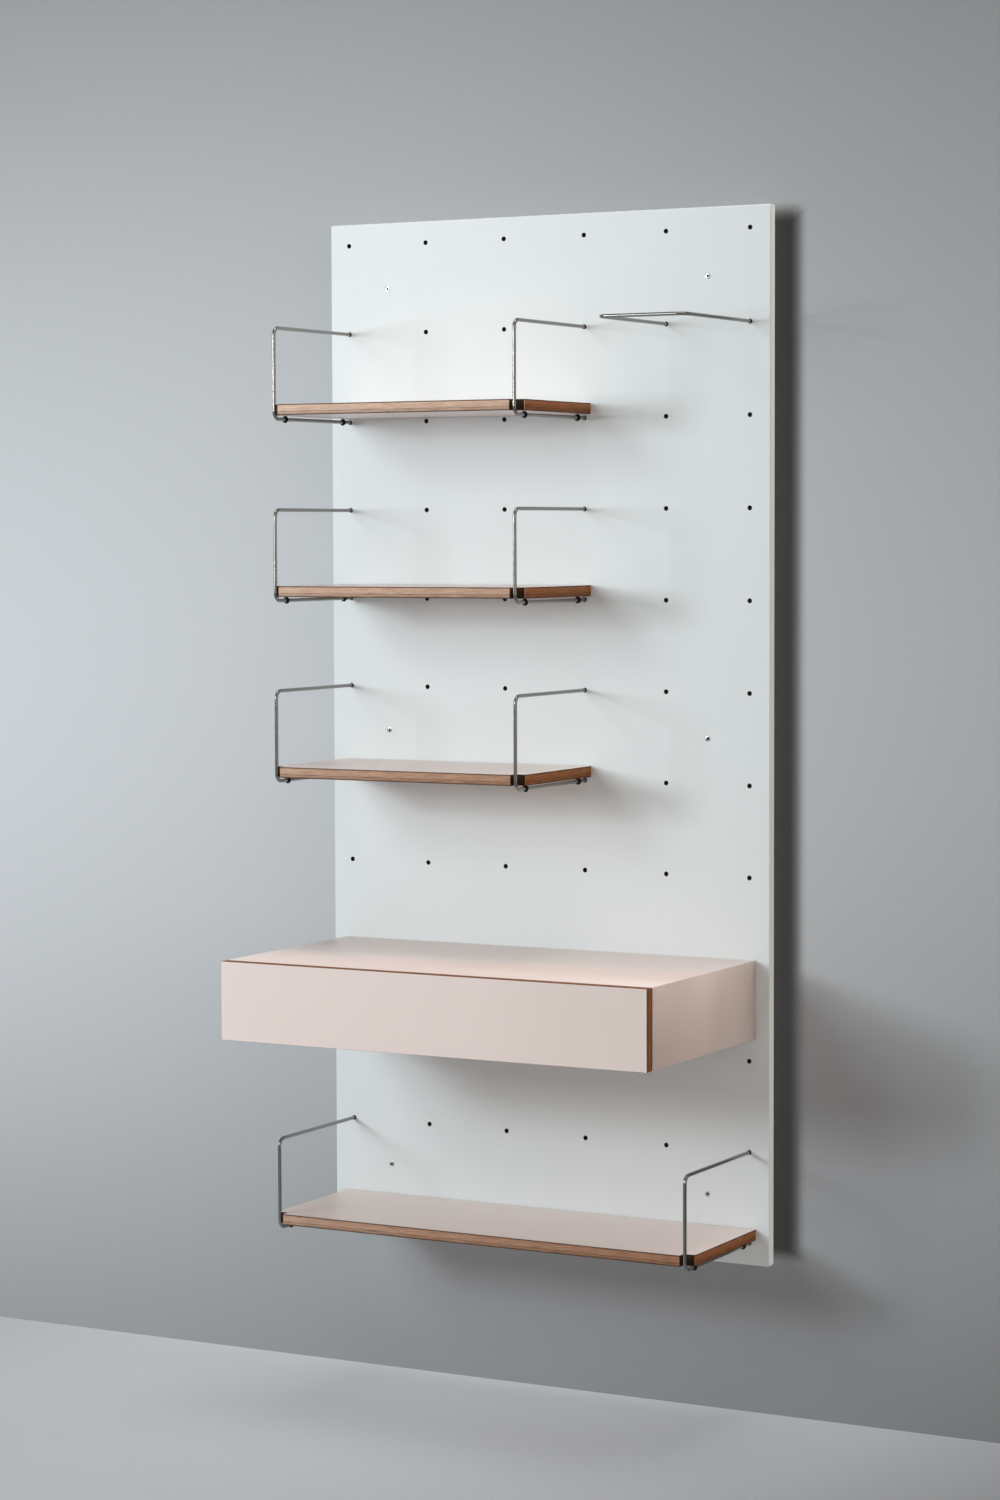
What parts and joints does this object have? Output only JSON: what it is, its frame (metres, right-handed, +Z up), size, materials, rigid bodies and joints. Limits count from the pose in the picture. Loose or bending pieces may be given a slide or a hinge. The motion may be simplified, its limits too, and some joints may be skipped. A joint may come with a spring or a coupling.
{
  "type": "pegboard wall",
  "caption": "Tall wall-hung pegboard with a grid of round holes, carrying plywood shelves on U-shaped wire brackets, a wire hanging rail and a shallow push-open drawer.",
  "frame": {"origin": "on the wall plane, at the middle of the board's width, level with the board's lower edge", "axes": "+X to the right as seen from the room, +Y into the wall, +Z up; the front faces -Y"},
  "size_m": [0.822, 0.4722, 1.722],
  "materials": {
    "white_lacquer": "matte white lacquered board",
    "pink_laminate": "dusty pink matte laminate on plywood",
    "birch_ply": "birch plywood with its layers showing at the edge",
    "steel_wire": "satin stainless wire",
    "black_rubber": "black rubber ring",
    "zinc_steel": "zinc plated steel",
    "black_nylon": "black nylon spacer",
    "grey_plastic": "grey moulded latch"
  },
  "bodies": {
    "wall_board": {"board": "white_lacquer", "wall_screw_top_left": "zinc_steel", "wall_screw_top_right": "zinc_steel", "wall_screw_middle_left": "zinc_steel", "wall_screw_middle_right": "zinc_steel", "wall_screw_bottom_left": "zinc_steel", "wall_screw_bottom_right": "zinc_steel", "wall_spacer_top_left": "black_nylon", "wall_spacer_top_right": "black_nylon", "wall_spacer_middle_left": "black_nylon", "wall_spacer_middle_right": "black_nylon", "wall_spacer_bottom_left": "black_nylon", "wall_spacer_bottom_right": "black_nylon", "case_top": "pink_laminate", "case_bottom": "pink_laminate", "case_left": "pink_laminate", "case_right": "pink_laminate", "case_back": "pink_laminate", "case_bolt_left": "zinc_steel", "case_bolt_right": "zinc_steel", "runner_fixed_left": "zinc_steel", "runner_fixed_right": "zinc_steel", "push_latch_body": "grey_plastic"},
    "bracket_top_left": {"bracket_top_left": "steel_wire", "ring_top_left_front": "black_rubber", "ring_top_left_back": "black_rubber"},
    "bracket_top_right": {"bracket_top_right": "steel_wire", "ring_top_right_front": "black_rubber", "ring_top_right_back": "black_rubber"},
    "bracket_second_left": {"bracket_second_left": "steel_wire", "ring_second_left_front": "black_rubber", "ring_second_left_back": "black_rubber"},
    "bracket_second_right": {"bracket_second_right": "steel_wire", "ring_second_right_front": "black_rubber", "ring_second_right_back": "black_rubber"},
    "bracket_third_left": {"bracket_third_left": "steel_wire", "ring_third_left_front": "black_rubber", "ring_third_left_back": "black_rubber"},
    "bracket_third_right": {"bracket_third_right": "steel_wire", "ring_third_right_front": "black_rubber", "ring_third_right_back": "black_rubber"},
    "bracket_wide_left": {"bracket_wide_left": "steel_wire", "ring_wide_left_front": "black_rubber", "ring_wide_left_back": "black_rubber"},
    "bracket_wide_right": {"bracket_wide_right": "steel_wire", "ring_wide_right_front": "black_rubber", "ring_wide_right_back": "black_rubber"},
    "hanging_rail": {"hanging_rail": "steel_wire"},
    "shelf_top": {"shelf_top": "birch_ply"},
    "shelf_second": {"shelf_second": "birch_ply"},
    "shelf_third": {"shelf_third": "birch_ply"},
    "shelf_wide": {"shelf_wide": "birch_ply"},
    "drawer": {"drawer_front": "pink_laminate", "drawer_side_left": "birch_ply", "drawer_side_right": "birch_ply", "drawer_back": "birch_ply", "drawer_floor": "birch_ply", "runner_sliding_left": "zinc_steel", "runner_sliding_right": "zinc_steel"},
    "latch_plunger": {"push_latch_plunger": "grey_plastic"}
  },
  "joints": [
    {"name": "bracket_top_left_pull", "type": "slide", "parent": "wall_board", "child": "bracket_top_left", "axis": [0, -1, 0], "range_m": [0, 0.035]},
    {"name": "bracket_top_right_pull", "type": "slide", "parent": "wall_board", "child": "bracket_top_right", "axis": [0, -1, 0], "range_m": [0, 0.035]},
    {"name": "bracket_second_left_pull", "type": "slide", "parent": "wall_board", "child": "bracket_second_left", "axis": [0, -1, 0], "range_m": [0, 0.035]},
    {"name": "bracket_second_right_pull", "type": "slide", "parent": "wall_board", "child": "bracket_second_right", "axis": [0, -1, 0], "range_m": [0, 0.035]},
    {"name": "bracket_third_left_pull", "type": "slide", "parent": "wall_board", "child": "bracket_third_left", "axis": [0, -1, 0], "range_m": [0, 0.035]},
    {"name": "bracket_third_right_pull", "type": "slide", "parent": "wall_board", "child": "bracket_third_right", "axis": [0, -1, 0], "range_m": [0, 0.035]},
    {"name": "bracket_wide_left_pull", "type": "slide", "parent": "wall_board", "child": "bracket_wide_left", "axis": [0, -1, 0], "range_m": [0, 0.035]},
    {"name": "bracket_wide_right_pull", "type": "slide", "parent": "wall_board", "child": "bracket_wide_right", "axis": [0, -1, 0], "range_m": [0, 0.035]},
    {"name": "hanging_rail_pull", "type": "slide", "parent": "wall_board", "child": "hanging_rail", "axis": [0, -1, 0], "range_m": [0, 0.035]},
    {"name": "shelf_top_lift", "type": "slide", "parent": "wall_board", "child": "shelf_top", "axis": [0, 0, 1], "range_m": [0, 0.12]},
    {"name": "shelf_second_lift", "type": "slide", "parent": "wall_board", "child": "shelf_second", "axis": [0, 0, 1], "range_m": [0, 0.12]},
    {"name": "shelf_third_lift", "type": "slide", "parent": "wall_board", "child": "shelf_third", "axis": [0, 0, 1], "range_m": [0, 0.12]},
    {"name": "shelf_wide_lift", "type": "slide", "parent": "wall_board", "child": "shelf_wide", "axis": [0, 0, 1], "range_m": [0, 0.12]},
    {"name": "drawer_slide", "type": "slide", "parent": "wall_board", "child": "drawer", "axis": [0, -1, 0], "range_m": [0, 0.26]},
    {"name": "latch_plunger_press", "type": "slide", "parent": "wall_board", "child": "latch_plunger", "axis": [0, 1, 0], "range_m": [0, 0.003], "stiffness_N_per_m": 150, "springref_m": -0.004}
  ]
}
